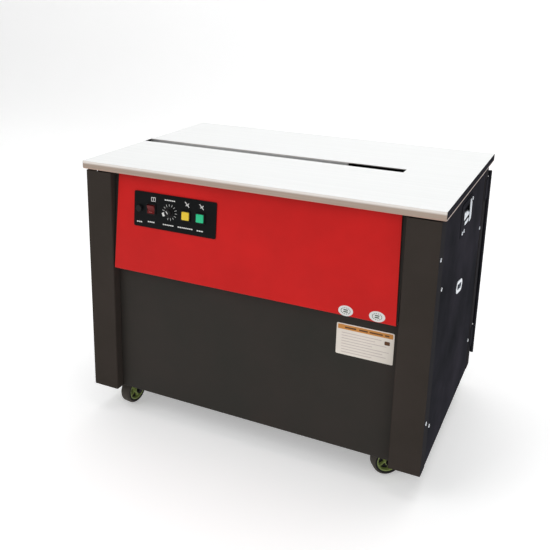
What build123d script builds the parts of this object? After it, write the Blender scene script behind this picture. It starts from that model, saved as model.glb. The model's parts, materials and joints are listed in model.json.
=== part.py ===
"""Semi automatic strapping machine: a steel cabinet on four casters under a hinged table.

Millimetres. X runs along the strap slot (right of the operator is +X), Y towards the rear, Z up.
The origin is on the floor, under the middle of the table.
"""
import math
import os

from build123d import *

os.makedirs("parts", exist_ok=True)

# ---------------------------------------------------------------- driving dimensions
TABLE_W = 900.0            # table along X
TABLE_D = 610.0            # table along Y
TABLE_H = 690.0            # top face of the table above the floor
RIM = 20.0                 # depth of the table's folded rim
TABLE_SHEET = 2.5
SHEET = 2.0                # cabinet sheet
BEND = 2.5                 # centre-line radius of a fold
OVERHANG = 8.0             # table past the cabinet's sides
CLEAR = 0.3                # gap between pieces that only meet

CAB_X = TABLE_W / 2 - OVERHANG
CAB_FRONT = -302.0
CAB_BACK = 285.0
CAB_BOTTOM = 73.0
CAB_TOP = 666.0
POST_W = 74.0              # front face of a front post
POST_SIDE = 42.0           # a post's flange on the cabinet's side
REAR_POST_W = 60.0
RING_FRONT = -250.0        # the inner frame's front and rear faces
RING_BACK = 235.0
RING_X = 438.0
TUBE = 30.0                # square tube of the frame
BASE_Z = 100.0             # underside of the base plate
BASE_T = 3.0
DECK_Z = 560.0             # underside of the head deck
DECK_T = 10.0
TOP_RAIL_Z = 655.0         # top of the upper ring

SLOT_Y = -10.0             # centre of the strap slot
SLOT_W = 34.0
SLOT_END = 287.0           # right end of the slot
GROOVE_END = 138.0         # where the groove's floor ends and the head begins
GROOVE_Z = 679.0           # floor of the groove

RED_BOTTOM = (-303.0, 420.0)   # y, z of the upper front panel's outer face, at its foot
RED_TOP = (-284.0, 668.0)      # and at its head
LOWER_PANEL_Y = -277.0
LOWER_PANEL_TOP = 440.0
PANEL_X = CAB_X - POST_W - 0.7  # half width of both front panels
RED_GAPS = (4.0, 13.0)          # upper panel's end gap to a post, at its foot and at its head

HINGE_PIN_R = 2.0
RUNNING = 0.05             # radial clearance of a shaft in its hole
KNUCKLE_R = 4.2
LID_AXIS = (292.0, 664.0)      # y, z
LID_HINGE_X = (-300.0, 300.0)
DOOR_AXIS = (445.5, 294.0)     # x, y
DOOR_HINGE_Z = (165.0, 600.0)
DOOR_BOTTOM = 106.0
DOOR_TOP = 645.0
DOOR_SKIN_Y = 300.0
LATCH = (-365.0, 375.0)        # x, z

WHEEL_R = 37.5
WHEEL_W = 30.0
CASTER_X = 366.6
CASTER_Y = {"front": -197.0, "rear": 180.0}    # swivel axes
TRAIL = 30.0
CASTER_TURN = {"front_left": -7.0, "front_right": -52.0, "rear_left": 12.0, "rear_right": -20.0}
AXLE_R = 5.0

DRIVE_Y = SLOT_Y
CAM_Z = 590.0              # camshaft and gearbox input
MOTOR_Z = 420.0
CAM_R = 8.0
GEARBOX_X = (58.0, 134.0)
PULLEY_X = (36.0, 52.0)
GEARBOX_PULLEY_R = 52.0
MOTOR_PULLEY_R = 26.0
BELT_T = 6.0


def save(piece, name):
    """Label a finished piece and write it as parts/NAME.step."""
    piece.label = name
    export_step(piece, f"parts/{name}.step")


def span(low, high):
    """Middle and length of a stretch."""
    return (low + high) / 2, high - low


def block(x, y, z, mode=Mode.ADD):
    """A box between two limits on each axis, placed in the row's frame."""
    (cx, lx), (cy, ly), (cz, lz) = span(*x), span(*y), span(*z)
    with Locations((cx, cy, cz)):
        Box(lx, ly, lz, mode=mode)


def rod(centre, radius, length, axis, mode=Mode.ADD):
    """A cylinder about its centre, along X, Y or Z."""
    turn = {"x": (0, 90, 0), "y": (90, 0, 0), "z": (0, 0, 0)}[axis]
    with Locations(centre):
        Cylinder(radius, length, rotation=turn, mode=mode)


def folded(plane, points, length, thickness=SHEET):
    """Extrude a folded sheet's section, given by its centre line on the plane."""
    with BuildSketch(plane) as section:
        with BuildLine():
            FilletPolyline(*points, radius=BEND)
        trace(line_width=thickness)
    extrude(section.sketch, amount=length)


# ---------------------------------------------------------------- corner posts
SIDE_LINE = CAB_X - SHEET / 2
POST_SCREWS = ((-288.0, 581.0), (-288.0, 200.0))      # y, z on each front post's side
SIDE_SCREWS = tuple((y, z) for y in (-245.0, 228.0) for z in (170.0, 500.0))
SCREW_R = 2.9
SCREW_HOLE_R = 3.1


def side_holes(points):
    """Screw holes through both sides of the cabinet."""
    for side in (-1, 1):
        for y, z in points:
            rod((side * SIDE_LINE, y, z), SCREW_HOLE_R, 6 * SHEET, "x", Mode.SUBTRACT)


with BuildPart() as front_posts:
    inner = CAB_X - POST_W + SHEET / 2
    folded(Plane.XY.offset(CAB_BOTTOM),
           ((SIDE_LINE, CAB_FRONT + POST_SIDE), (SIDE_LINE, CAB_FRONT + SHEET / 2),
            (inner, CAB_FRONT + SHEET / 2), (inner, RING_FRONT)),
           CAB_TOP - CAB_BOTTOM)
    mirror(about=Plane.YZ)
    side_holes(POST_SCREWS)
save(front_posts.part, "front_posts")

with BuildPart() as rear_posts:
    inner = CAB_X - REAR_POST_W + SHEET / 2
    folded(Plane.XY.offset(CAB_BOTTOM),
           ((SIDE_LINE, CAB_BACK - POST_SIDE), (SIDE_LINE, CAB_BACK - SHEET / 2),
            (inner, CAB_BACK - SHEET / 2), (inner, RING_BACK)),
           CAB_TOP - CAB_BOTTOM)
    mirror(about=Plane.YZ)
    keeper_x = REAR_POST_W - CAB_X
    block((keeper_x - SHEET / 2, keeper_x + 7.0), (CAB_BACK - 3.5, CAB_BACK - 0.5),
          (LATCH[1] - 10, LATCH[1] + 10))
save(rear_posts.part, "rear_posts")

# ---------------------------------------------------------------- inner frame
DECK_RAIL_Y = ((-95.0, -65.0), (65.0, 95.0))


def tube(x, y, z, along):
    """A square tube, open at both ends."""
    block(x, y, z)
    wall = 2.0
    inside = [(low + wall, high - wall) for low, high in (x, y, z)]
    inside["xyz".index(along)] = (x, y, z)["xyz".index(along)]
    block(*inside, mode=Mode.SUBTRACT)


with BuildPart() as frame_rails:
    rail_in = RING_X - TUBE
    for low in (BASE_Z + BASE_T, TOP_RAIL_Z - 25.0):
        high = low + (TUBE if low < DECK_Z else 25.0)
        tube((-RING_X, RING_X), (RING_FRONT, RING_FRONT + TUBE), (low, high), "x")
        tube((-RING_X, RING_X), (RING_BACK - TUBE, RING_BACK), (low, high), "x")
        for x in ((-RING_X, -rail_in), (rail_in, RING_X)):
            tube(x, (RING_FRONT + TUBE + CLEAR, RING_BACK - TUBE - CLEAR), (low, high), "y")
    for x in ((-RING_X, -rail_in), (rail_in, RING_X)):
        tube(x, (RING_FRONT, RING_BACK), (DECK_Z - TUBE, DECK_Z), "y")
    for y in DECK_RAIL_Y:
        tube((-rail_in + CLEAR, rail_in - CLEAR), y, (DECK_Z - TUBE, DECK_Z), "x")
    header = CAB_X - REAR_POST_W
    tube((-header, header), (CAB_BACK - TUBE, CAB_BACK), (CAB_TOP - TUBE, CAB_TOP), "x")
save(frame_rails.part, "frame_rails")

# ---------------------------------------------------------------- base plate and caster plates
CASTERS = {f"{row}_{side}": (sx * CASTER_X, y, math.copysign(TRAIL, y))
           for row, y in CASTER_Y.items()
           for side, sx in (("left", -1), ("right", 1))}
CASTER_PLATE = (86.0, 52.0, 3.0)
BOLT_GRID = (68.0, 30.0)
BOLT_R = 4.0
BOLT_HEAD = 6.0                # across-flats half width
RACE_R = 23.0
CROWN_Z = (80.0, 84.0)
KINGPIN_R = 6.0


def bolt_places(z):
    """Centres of the casters' sixteen bolts at one height."""
    return [(x + dx, y + dy, z) for x, y, _ in CASTERS.values()
            for dx in (-BOLT_GRID[0] / 2, BOLT_GRID[0] / 2)
            for dy in (-BOLT_GRID[1] / 2, BOLT_GRID[1] / 2)]


with BuildPart() as base_plate:
    block((-RING_X, RING_X), (RING_FRONT, RING_BACK), (BASE_Z, BASE_Z + BASE_T))
    block((-header, header), (RING_BACK, CAB_BACK), (BASE_Z, BASE_Z + BASE_T))
    block((-header, header), (CAB_BACK - SHEET, CAB_BACK), (CAB_BOTTOM, BASE_Z - CLEAR))
    for place in bolt_places(BASE_Z):
        rod(place, BOLT_R + 0.2, 4 * BASE_T, "z", Mode.SUBTRACT)
save(base_plate.part, "base_plate")

with BuildPart() as caster_plates:
    plate_bottom = BASE_Z - CASTER_PLATE[2]
    for x, y, _ in CASTERS.values():
        with Locations((x, y, BASE_Z - CASTER_PLATE[2] / 2)):
            Box(*CASTER_PLATE)
        race = plate_bottom - CROWN_Z[1] - 1.0
        rod((x, y, plate_bottom - race / 2), RACE_R, race, "z")
        pin_low, pin_high = CROWN_Z[0] - 4.0, plate_bottom
        rod((x, y, (pin_low + pin_high) / 2), KINGPIN_R, pin_high - pin_low, "z")
        rod((x, y, pin_low), KINGPIN_R + 3.0, 6.0, "z")
    for place in bolt_places(BASE_Z):
        rod(place, BOLT_R + 0.2, 4 * BASE_T, "z", Mode.SUBTRACT)
save(caster_plates.part, "caster_plates")

with BuildPart() as caster_bolts:
    head_h = 5.0
    for x, y, _ in bolt_places(0):
        with BuildSketch(Plane.XY.offset(BASE_Z + BASE_T)):
            with Locations((x, y)):
                RegularPolygon(BOLT_HEAD, 6, major_radius=False)
        extrude(amount=head_h)
        with BuildSketch(Plane.XY.offset(plate_bottom - head_h)):
            with Locations((x, y)):
                RegularPolygon(BOLT_HEAD, 6, major_radius=False)
        extrude(amount=head_h)
        rod((x, y, BASE_Z), BOLT_R, 16.0, "z")
save(caster_bolts.part, "caster_bolts")

# ---------------------------------------------------------------- casters
LEG_IN = 18.6
LEG_T = 3.0


def make_fork(x, y, trail):
    """Swivel fork: a crown under the race, two legs, and the axle with its end nuts."""
    with BuildPart() as fork:
        with Locations((x, y, sum(CROWN_Z) / 2)):
            Box(2 * (LEG_IN + LEG_T), 46.0, CROWN_Z[1] - CROWN_Z[0])
        for side in (-1, 1):
            with BuildSketch(Plane.YZ.offset(x + side * (LEG_IN + LEG_T / 2) - LEG_T / 2)):
                with Locations((y + trail, WHEEL_R)):
                    Circle(8.0)
                with Locations((y, CROWN_Z[1] - 5.0)):
                    Rectangle(36.0, 10.0)
                make_hull()
            extrude(amount=LEG_T)
            nut_x = x + side * (LEG_IN + LEG_T)
            with BuildSketch(Plane.YZ.offset(nut_x)):
                with Locations((y + trail, WHEEL_R)):
                    RegularPolygon(6.5, 6, major_radius=False)
            extrude(amount=side * 5.0)
        rod((x, y, sum(CROWN_Z) / 2), KINGPIN_R + RUNNING, 20.0, "z", Mode.SUBTRACT)
        rod((x, y + trail, WHEEL_R), AXLE_R, 2 * (LEG_IN + LEG_T), "x")
    return fork.part


def make_hub(x, y):
    """Moulded hub: a rim, a thin web with ten ribs, and a long boss bored for the axle."""
    centre = (x, y, WHEEL_R)
    with BuildPart() as hub:
        rod(centre, 27.9, WHEEL_W - 2, "x")
        rod(centre, 24.5, WHEEL_W, "x", Mode.SUBTRACT)
        rod(centre, 25.5, 3.0, "x")
        rod(centre, 10.0, 36.0, "x")
        for k in range(5):
            with Locations(Location(centre, (k * 72.0, 0, 0))):
                with Locations((0, 0, 16.5)):
                    Box(22.0, 5.0, 17.5)
        rod(centre, AXLE_R + RUNNING, 40.0, "x", Mode.SUBTRACT)
    return hub.part


def make_tyre(x, y):
    """Rubber tread with rounded shoulders."""
    with BuildPart() as tyre:
        rod((x, y, WHEEL_R), WHEEL_R, WHEEL_W, "x")
        fillet(tyre.edges().filter_by(GeomType.CIRCLE), 7.0)
        rod((x, y, WHEEL_R), 28.0, 2 * WHEEL_W, "x", Mode.SUBTRACT)
    return tyre.part


for corner, (x, y, trail) in CASTERS.items():
    swivel = Axis((x, y, 0), (0, 0, 1))
    for piece, shape in (("fork", make_fork(x, y, trail)), ("hub", make_hub(x, y + trail)),
                         ("tyre", make_tyre(x, y + trail))):
        save(shape.rotate(swivel, CASTER_TURN[corner]), f"caster_{piece}_{corner}")

# ---------------------------------------------------------------- side panels
PANEL_Y = (CAB_FRONT + POST_SIDE + 0.5, CAB_BACK - POST_SIDE - 0.5)
FLANGE = 13.0
PANEL_FACE = CAB_X - 1.0       # outer face of a side panel
WINDOW_Y, WINDOW_Z = (-62.0, 32.0), (576.0, 628.0)
EYELET = (-28.0, 428.0)        # y, z
EYELET_TILT = -10.0
CORD = (205.0, 155.0)          # y, z
VENT_Z = [470.0 + 14.0 * k for k in range(6)]


def side_panel(side):
    """A plain sheet folded in along its front, rear and top edges."""
    line = side * (PANEL_FACE - SHEET / 2)
    inner = line - side * FLANGE
    folded(Plane.XY.offset(CAB_BOTTOM),
           ((inner, PANEL_Y[0] + 1), (line, PANEL_Y[0] + 1), (line, PANEL_Y[1] - 1), (inner, PANEL_Y[1] - 1)),
           TOP_RAIL_Z - CAB_BOTTOM)
    side_holes(SIDE_SCREWS)


def slot_cut(plane, centre, length, width, depth, tilt=0.0, mode=Mode.SUBTRACT):
    """A round-ended slot cut through or raised on a plane."""
    with BuildSketch(plane) as outline:
        with Locations(Location((*centre, 0), (0, 0, tilt))):
            SlotOverall(length, width)
    extrude(outline.sketch, amount=depth, both=mode is Mode.SUBTRACT, mode=mode)


with BuildPart() as left_side_panel:
    side_panel(-1)
    rod((-PANEL_FACE, *CORD), 8.0, 20.0, "x", Mode.SUBTRACT)
    for z in VENT_Z:
        slot_cut(Plane.YZ.offset(-PANEL_FACE), (0.0, z), 120.0, 5.0, 10.0)
save(left_side_panel.part, "left_side_panel")

with BuildPart() as right_side_panel:
    side_panel(1)
    block((PANEL_FACE - 10, PANEL_FACE + 10), WINDOW_Y, WINDOW_Z, Mode.SUBTRACT)
    slot_cut(Plane.YZ.offset(PANEL_FACE), EYELET, 63.0, 21.0, 10.0, EYELET_TILT)
save(right_side_panel.part, "right_side_panel")

# ---------------------------------------------------------------- front panels
RED_TILT = math.atan2(RED_TOP[0] - RED_BOTTOM[0], RED_TOP[1] - RED_BOTTOM[1])
FACE = Plane(origin=(0, *RED_BOTTOM), x_dir=(1, 0, 0),
             z_dir=(0, -math.cos(RED_TILT), math.sin(RED_TILT)))
PLATE_T = 2.0
PLATE_SIZE = (228.0, 88.0)
PLATE_AT = (-192.5, 165.2)     # on FACE: x, and height along the slope
FUSE_AT = (-290.0, 167.0)
ROCKER_AT = (-257.0, 169.0)
DIAL_AT = (-205.5, 167.5)
YELLOW_AT = (-160.3, 165.6)
GREEN_AT = (-121.0, 165.6)
BUTTON = 20.4                  # square button
BUTTON_HOLE = 21.2
BEZEL = 26.5
BEZEL_T = 3.5
ROCKER = (20.4, 20.4)
ROCKER_HOLE = (21.4, 23.6)
ROCKER_TILT = 9.0              # the rocker rests with its upper half out
FUSE_R = 6.5
DIAL_SHAFT_R = 3.0


def red_line(z):
    """Centre line of the leaning sheet at one height."""
    return RED_BOTTOM[0] + (z - RED_BOTTOM[1]) * math.tan(RED_TILT) + SHEET / 2 / math.cos(RED_TILT)


def control_holes():
    """Cut-outs for the fuse, rocker, dial and buttons, through whatever stands on FACE."""
    with BuildSketch(FACE) as openings:
        with Locations(FUSE_AT):
            Circle(FUSE_R + 0.2)
        with Locations(DIAL_AT):
            Circle(DIAL_SHAFT_R + RUNNING)
        with Locations(ROCKER_AT):
            Rectangle(*ROCKER_HOLE)
        with Locations(YELLOW_AT, GREEN_AT):
            Rectangle(BUTTON_HOLE, BUTTON_HOLE)
    extrude(openings.sketch, amount=8.0, both=True, mode=Mode.SUBTRACT)


with BuildPart() as upper_front_panel:
    foot, head = RED_BOTTOM[1] + SHEET / 2, RED_TOP[1] - SHEET / 2
    folded(Plane.YZ.offset(-PANEL_X),
           ((LOWER_PANEL_Y - 3.0, foot), (red_line(foot), foot), (red_line(head), head),
            (red_line(head) + 20.0, head)),
           2 * PANEL_X)
    slope = RED_TOP[1] - RED_BOTTOM[1] + 10.0
    for side in (-1, 1):
        with BuildSketch(FACE) as end_trim:
            with BuildLine():
                Polyline((side * (PANEL_X - RED_GAPS[0]), -5.0), (side * (PANEL_X - RED_GAPS[1]), slope),
                         (side * (PANEL_X + 2.0), slope), (side * (PANEL_X + 2.0), -5.0), close=True)
            make_face()
        extrude(end_trim.sketch, amount=40.0, both=True, mode=Mode.SUBTRACT)
    control_holes()
save(upper_front_panel.part, "upper_front_panel")

with BuildPart() as lower_front_panel:
    line = LOWER_PANEL_Y + SHEET / 2
    foot, head = CAB_BOTTOM + SHEET / 2, LOWER_PANEL_TOP - SHEET / 2
    folded(Plane.YZ.offset(-PANEL_X),
           ((line + FLANGE, foot), (line, foot), (line, head), (line + FLANGE, head)),
           2 * PANEL_X)
save(lower_front_panel.part, "lower_front_panel")

# ---------------------------------------------------------------- controls
with BuildPart() as control_plate:
    with BuildSketch(FACE):
        with Locations(PLATE_AT):
            RectangleRounded(*PLATE_SIZE, 4.0)
    extrude(amount=PLATE_T)
    control_holes()
save(control_plate.part, "control_plate")

with BuildPart() as control_bezels:
    with BuildSketch(FACE.offset(PLATE_T)):
        with Locations(YELLOW_AT, GREEN_AT):
            RectangleRounded(BEZEL, BEZEL, 2.0)
            Rectangle(BUTTON_HOLE, BUTTON_HOLE, mode=Mode.SUBTRACT)
        with Locations(ROCKER_AT):
            RectangleRounded(BEZEL, BEZEL + 2, 2.0)
            Rectangle(*ROCKER_HOLE, mode=Mode.SUBTRACT)
    extrude(amount=BEZEL_T)
save(control_bezels.part, "control_bezels")

for name, place in (("yellow_button", YELLOW_AT), ("green_button", GREEN_AT)):
    with BuildPart() as button:
        with BuildSketch(FACE.offset(-10.0)):
            with Locations(place):
                RectangleRounded(BUTTON, BUTTON, 1.5)
        extrude(amount=10.0 + PLATE_T + 4.6)
        fillet(button.faces().sort_by(Axis(FACE.origin, FACE.z_dir))[-1].edges(), 1.0)
    save(button.part, name)

ROCKER_PIVOT = FACE.from_local_coords((*ROCKER_AT, PLATE_T - 3.5))
with BuildPart() as power_rocker:
    level = Plane(origin=ROCKER_PIVOT, x_dir=FACE.y_dir, z_dir=FACE.x_dir)
    rocker_plane = Plane(level.location * Location((0, 0, 0), (0, 0, ROCKER_TILT)))
    half_l, half_w = ROCKER[1] / 2, ROCKER[0] / 2
    with BuildSketch(rocker_plane.offset(-half_w)):
        with BuildLine():
            Polyline((-half_l, -4), (half_l, -4), (half_l, 8.5), (0, 6.0), (-half_l, 8.5), close=True)
        make_face()
    extrude(amount=2 * half_w)
    rod(tuple(ROCKER_PIVOT), 1.5, 2 * half_w + 0.5, "x")
save(power_rocker.part, "power_rocker")

with BuildPart() as feed_dial:
    with BuildSketch(FACE.offset(PLATE_T + CLEAR)):
        with Locations(DIAL_AT):
            Circle(12.5)
    extrude(amount=3.0)
    with BuildSketch(FACE.offset(PLATE_T + CLEAR + 3.0)):
        with Locations(DIAL_AT):
            Circle(9.5)
            with PolarLocations(9.8, 16):
                Circle(0.9, mode=Mode.SUBTRACT)
    extrude(amount=9.0)
    with BuildSketch(FACE.offset(-14.0)):
        with Locations(DIAL_AT):
            Circle(DIAL_SHAFT_R)
    extrude(amount=14.0 + PLATE_T + 2.0)
save(feed_dial.part, "feed_dial")

with BuildPart() as fuse_holder:
    with BuildSketch(FACE.offset(PLATE_T)):
        with Locations(FUSE_AT):
            Circle(8.0)
    extrude(amount=7.0)
    with BuildSketch(FACE.offset(-24.0)):
        with Locations(FUSE_AT):
            Circle(FUSE_R)
    extrude(amount=26.0)
save(fuse_holder.part, "fuse_holder")

# ---------------------------------------------------------------- table (hinged lid)
UNDER = TABLE_H - TABLE_SHEET
RIM_Z = TABLE_H - RIM
STIFFENER_Z = 673.0
STIFFENER_Y = (-200.0, -110.0, 110.0, 200.0)

with BuildPart() as table_top:
    half_w, half_d = TABLE_W / 2, TABLE_D / 2
    block((-half_w, half_w), (-half_d, half_d), (RIM_Z, TABLE_H))
    fillet(table_top.edges().filter_by(Axis.Z), 3.0)
    block((-half_w + TABLE_SHEET, half_w - TABLE_SHEET), (-half_d + TABLE_SHEET, half_d - TABLE_SHEET),
          (RIM_Z - 1, UNDER), Mode.SUBTRACT)
    block((-half_w - 1, SLOT_END), (SLOT_Y - SLOT_W / 2, SLOT_Y + SLOT_W / 2), (GROOVE_Z, TABLE_H + 1),
          Mode.SUBTRACT)
save(table_top.part, "table_top")

with BuildPart() as strap_channel:
    wall = SLOT_W / 2 + SHEET / 2
    floor = GROOVE_Z - SHEET / 2
    left_end = -half_w + TABLE_SHEET + 0.1
    folded(Plane.YZ.offset(left_end),
           ((SLOT_Y - wall, UNDER), (SLOT_Y - wall, floor), (SLOT_Y + wall, floor), (SLOT_Y + wall, UNDER)),
           GROOVE_END - left_end)
save(strap_channel.part, "strap_channel")

with BuildPart() as table_stiffeners:
    for y in STIFFENER_Y:
        tube((-435.0, 435.0), (y - 15.0, y + 15.0), (STIFFENER_Z, UNDER), "x")
save(table_stiffeners.part, "table_stiffeners")

with BuildPart() as lid_hinge_brackets:
    for x in LID_HINGE_X:
        rod((x, *LID_AXIS), KNUCKLE_R, 22.0, "x")
        block((x - 11, x + 11), (LID_AXIS[0] - 1.5, LID_AXIS[0] + 1.5), (LID_AXIS[1], UNDER))
        block((x - 30, x + 30), (LID_AXIS[0] - 32, LID_AXIS[0] + 8), (UNDER - 2.5, UNDER))
        rod((x, *LID_AXIS), HINGE_PIN_R + RUNNING, 30.0, "x", Mode.SUBTRACT)
save(lid_hinge_brackets.part, "lid_hinge_brackets")

with BuildPart() as table_bumpers:
    for x in (-423.0, 423.0):
        for y in (STIFFENER_Y[0], STIFFENER_Y[-1]):
            height = STIFFENER_Z - 0.2 - TOP_RAIL_Z
            rod((x, y, TOP_RAIL_Z + height / 2), 9.0, height, "z")
save(table_bumpers.part, "table_bumpers")

# ---------------------------------------------------------------- rear door and hinges
DOOR_X = (-438.0, 436.0)
DOOR_FRONT_Y = 288.0
LEAF_H = 60.0
END_KNUCKLE = 18.5
DOOR_VENTS = [(x, 430.0 + 14.0 * k) for x in (-150.0, 150.0) for k in range(8)]

with BuildPart() as rear_door:
    block(DOOR_X, (DOOR_FRONT_Y, DOOR_SKIN_Y), (DOOR_BOTTOM, DOOR_TOP))
    block((DOOR_X[0] + SHEET, DOOR_X[1] - SHEET), (DOOR_FRONT_Y - 1, DOOR_SKIN_Y - SHEET),
          (DOOR_BOTTOM + SHEET, DOOR_TOP - SHEET), Mode.SUBTRACT)
    for x, z in DOOR_VENTS:
        slot_cut(Plane.XZ.offset(-DOOR_SKIN_Y), (x, z), 140.0, 5.0, 6.0)
    rod((LATCH[0], DOOR_SKIN_Y, LATCH[1]), 6.0 + RUNNING, 10.0, "y", Mode.SUBTRACT)
    for z in DOOR_HINGE_Z:
        half = LEAF_H / 2 - END_KNUCKLE - 0.3
        rod((*DOOR_AXIS, z), KNUCKLE_R, 2 * half, "z")
        block((DOOR_X[1] - SHEET, DOOR_AXIS[0]), (DOOR_AXIS[1] - 1.5, DOOR_AXIS[1] + 1.5), (z - half, z + half))
        rod((*DOOR_AXIS, z), HINGE_PIN_R + RUNNING, 30.0, "z", Mode.SUBTRACT)
    reach = LEAF_H / 2 + CLEAR
    lower, upper = DOOR_HINGE_Z
    for low, high in ((DOOR_BOTTOM, lower - reach), (lower + reach, upper - reach), (upper + reach, DOOR_TOP)):
        rod((*DOOR_AXIS, (low + high) / 2), KNUCKLE_R, high - low, "z")
        block((DOOR_X[1] - SHEET, DOOR_AXIS[0]), (DOOR_AXIS[1] - 1.5, DOOR_AXIS[1] + 1.5), (low, high))
save(rear_door.part, "rear_door")

with BuildPart() as door_latch:
    rod((LATCH[0], (278.0 + DOOR_SKIN_Y) / 2 + 1.0, LATCH[1]), 6.0, DOOR_SKIN_Y - 278.0 + 2.0, "y")
    rod((LATCH[0], DOOR_SKIN_Y + CLEAR + 1.25, LATCH[1]), 12.0, 2.5, "y")
    block((LATCH[0] - 2.5, LATCH[0] + 2.5), (DOOR_SKIN_Y + 2, 304.8), (LATCH[1] - 11, LATCH[1] + 11))
    block((LATCH[0] - 8, LATCH[0] + 8), (277.0, 280.0), (LATCH[1] - 14, LATCH[1] + 8))
save(door_latch.part, "door_latch")

with BuildPart() as hinge_leaves:
    for z in DOOR_HINGE_Z:
        half = LEAF_H / 2
        block((CAB_X + 0.2, CAB_X + 2.2), (252.0, 288.0), (z - half, z + half))
        for end in (-1, 1):
            middle = z + end * (half - END_KNUCKLE / 2)
            low, high = middle - END_KNUCKLE / 2, middle + END_KNUCKLE / 2
            rod((*DOOR_AXIS, middle), KNUCKLE_R, END_KNUCKLE, "z")
            block((CAB_X + 0.2, CAB_X + 2.2), (286.0, DOOR_AXIS[1]), (low, high))
        rod((*DOOR_AXIS, z), HINGE_PIN_R, LEAF_H, "z")
    for x in LID_HINGE_X:
        y_leaf = (CAB_BACK + 0.2, CAB_BACK + 2.2)
        block((x - 30, x + 30), y_leaf, (638.0, 661.0))
        for end in (-1, 1):
            middle = x + end * 20.65
            low, high = middle - END_KNUCKLE / 2, middle + END_KNUCKLE / 2
            rod((middle, *LID_AXIS), KNUCKLE_R, END_KNUCKLE, "x")
            block((low, high), y_leaf, (660.0, LID_AXIS[1] + 1.5))
            block((low, high), (y_leaf[0], LID_AXIS[0]), (LID_AXIS[1] - 1.5, LID_AXIS[1] + 1.5))
        rod((x, *LID_AXIS), HINGE_PIN_R, LEAF_H, "x")
save(hinge_leaves.part, "hinge_leaves")

# ---------------------------------------------------------------- strap entry on the right side
ROLLER = (434.0, 600.0)        # x, z
ROLLER_R = 9.0
EAR_Y = ((-56.5, -54.5), (24.5, 26.5))
PLATE_X = (PANEL_FACE + 0.2, PANEL_FACE + 2.2)

with BuildPart() as entry_bracket:
    block(PLATE_X, (-80.0, 48.0), (562.0, 642.0))
    fillet(entry_bracket.edges().filter_by(Axis.X), 6.0)
    block((PLATE_X[0] - 1, PLATE_X[1] + 1), (-50.0, 20.0), (584.0, 627.0), Mode.SUBTRACT)
    for y in EAR_Y:
        block((ROLLER[0] - 8, PLATE_X[0]), y, (590.0, 612.0))
    y_mid = (EAR_Y[0][0] + EAR_Y[1][1]) / 2
    rod((ROLLER[0], y_mid, ROLLER[1]), 3.0, EAR_Y[1][1] - EAR_Y[0][0] + 4, "y")
save(entry_bracket.part, "entry_bracket")

with BuildPart() as entry_roller:
    rod((ROLLER[0], y_mid, ROLLER[1]), ROLLER_R, 66.0, "y")
    for side in (-1, 1):
        rod((ROLLER[0], y_mid + side * 35.5, ROLLER[1]), 5.0, 7.0, "y")
    rod((ROLLER[0], y_mid, ROLLER[1]), 3.0 + RUNNING, 90.0, "y", Mode.SUBTRACT)
save(entry_roller.part, "entry_roller")

with BuildPart() as inlet_eyelet:
    slot_cut(Plane.YZ.offset(PANEL_FACE + 0.2), EYELET, 74.0, 31.0, 2.5, EYELET_TILT, Mode.ADD)
    slot_cut(Plane.YZ.offset(PANEL_FACE - 15), EYELET, 62.0, 20.0, 15.2, EYELET_TILT, Mode.ADD)
    slot_cut(Plane.YZ.offset(PANEL_FACE), EYELET, 56.0, 14.0, 30.0, EYELET_TILT)
save(inlet_eyelet.part, "inlet_eyelet")

with BuildPart() as strap_chute:
    with BuildSketch(Plane.XZ.offset(-SLOT_Y - 9.0)):
        with BuildLine():
            FilletPolyline((408.0, 622.0), (352.0, 645.0), (312.0, 656.0), (290.5, 656.0), radius=20.0)
        trace(line_width=1.5)
    extrude(amount=18.0)
save(strap_chute.part, "strap_chute")

with BuildPart() as panel_screws:
    for side in (-1, 1):
        for face, places in ((CAB_X, POST_SCREWS), (PANEL_FACE, SIDE_SCREWS)):
            for y, z in places:
                rod((side * (face + 1.1), y, z), 5.0, 2.2, "x")
                rod((side * (face - 3.0), y, z), SCREW_R, 6.0, "x")
    for y, z in ((-70.0, 574.0), (38.0, 632.0), (-49.0, 574.0)):
        with BuildSketch(Plane.YZ.offset(PLATE_X[1])):
            with Locations((y, z)):
                RegularPolygon(5.0, 6, major_radius=False)
        extrude(amount=3.5)
save(panel_screws.part, "panel_screws")

with BuildPart() as cord_bushing:
    rod((-PANEL_FACE - 2.7, *CORD), 11.0, 5.0, "x")
    rod((-PANEL_FACE + 7.5, *CORD), 7.8, 15.6, "x")
    rod((-PANEL_FACE, *CORD), 4.0, 60.0, "x", Mode.SUBTRACT)
save(cord_bushing.part, "cord_bushing")

# ---------------------------------------------------------------- strapping head
HEAD_X = (140.0, 290.0)        # outer faces of the cheeks
CHEEK_T = 6.0
DECK_TOP = DECK_Z + DECK_T
DECK_X = (GEARBOX_X[0] - 4, 362.0)
PRESS_Y = (SLOT_Y - 12.0, SLOT_Y + 12.0)
PRESS_Z = (609.0, 656.0)
PRESS_W = 34.0
PRESS_X = {"left_press": 173.0, "cutter_press": 215.0, "right_press": 257.0}
GUIDE_Z = (614.0, 650.0)
SLIDE_Z = (663.0, 667.0)
FEED = (322.0, 626.0)          # x, z of the feed roller
FEED_PLATE_Y = (12.0, 18.0)

with BuildPart() as head_deck:
    block(DECK_X, (-110.0, 110.0), (DECK_Z, DECK_TOP))
    fillet(head_deck.edges().filter_by(Axis.Z), 8.0)
save(head_deck.part, "head_deck")

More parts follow.
